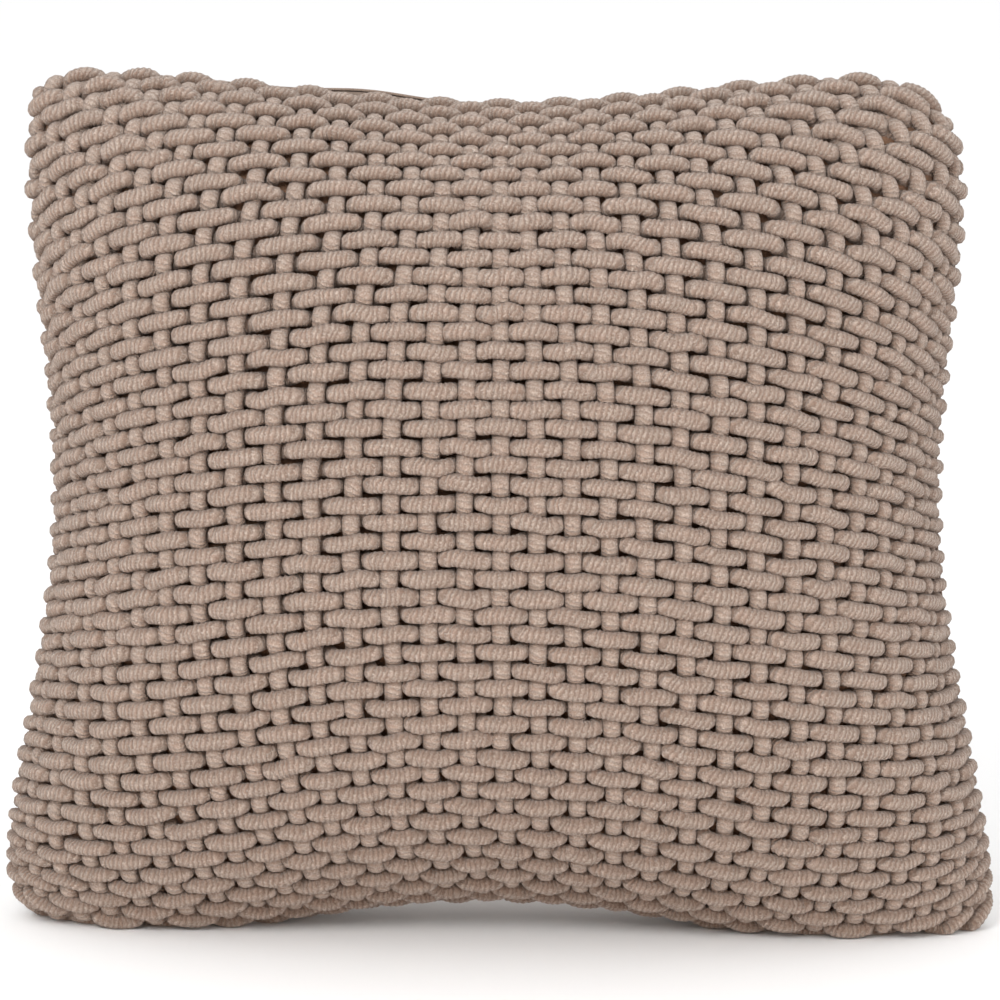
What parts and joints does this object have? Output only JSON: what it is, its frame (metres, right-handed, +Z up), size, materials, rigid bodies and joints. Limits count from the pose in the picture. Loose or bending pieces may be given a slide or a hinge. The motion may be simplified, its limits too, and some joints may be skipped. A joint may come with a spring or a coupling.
{
  "type": "throw pillow",
  "caption": "Plump throw pillow standing on its bottom corners: chunky plain-woven cord front, smooth cloth back with a zip across its lower part, and a stuffed insert.",
  "frame": {"origin": "centre of the bounding box, on the surface that the pillow stands on", "axes": "+X across the width, +Y from the woven front to the cloth back, +Z up"},
  "size_m": [0.4072, 0.1802, 0.3549],
  "materials": {
    "woven_cord": "matte",
    "brown_lining": "matte",
    "back_cloth": "matte",
    "overlocked_edge": "matte",
    "zip_tape": "matte",
    "zip_teeth": "satin",
    "zip_metal": "satin",
    "stitch_thread": "matte",
    "insert_casing": "matte",
    "fibre_filling": "matte"
  },
  "bodies": {
    "cover": {"woven_front": "woven_cord", "front_lining": "brown_lining", "back_panel_upper": "back_cloth", "back_panel_lower": "back_cloth", "seam_allowance": "overlocked_edge", "zip_tape_upper": "zip_tape", "zip_tape_lower": "zip_tape", "zip_teeth_upper": "zip_teeth", "zip_teeth_lower": "zip_teeth", "zip_top_stop_upper": "zip_metal", "zip_top_stop_lower": "zip_metal", "zip_bottom_stop": "zip_metal", "zip_topstitch": "stitch_thread", "insert_casing_front": "insert_casing", "insert_casing_back": "insert_casing", "insert_filling": "fibre_filling"},
    "slider": {"zip_slider": "zip_metal"},
    "pull_tab": {"zip_pull_tab": "zip_metal"}
  },
  "joints": [
    {"name": "zip_travel", "type": "hinge", "parent": "cover", "child": "slider", "pos_m": [0, -0.45689, 0.095], "axis": [0, 0, 1], "range_deg": [0, 26.16]},
    {"name": "pull_tab_swing", "type": "hinge", "parent": "slider", "child": "pull_tab", "pos_m": [0.12233, 0.06954, 0.09466], "axis": [-0.0566, -0.2437, -0.9682], "range_deg": [0, 170]}
  ]
}
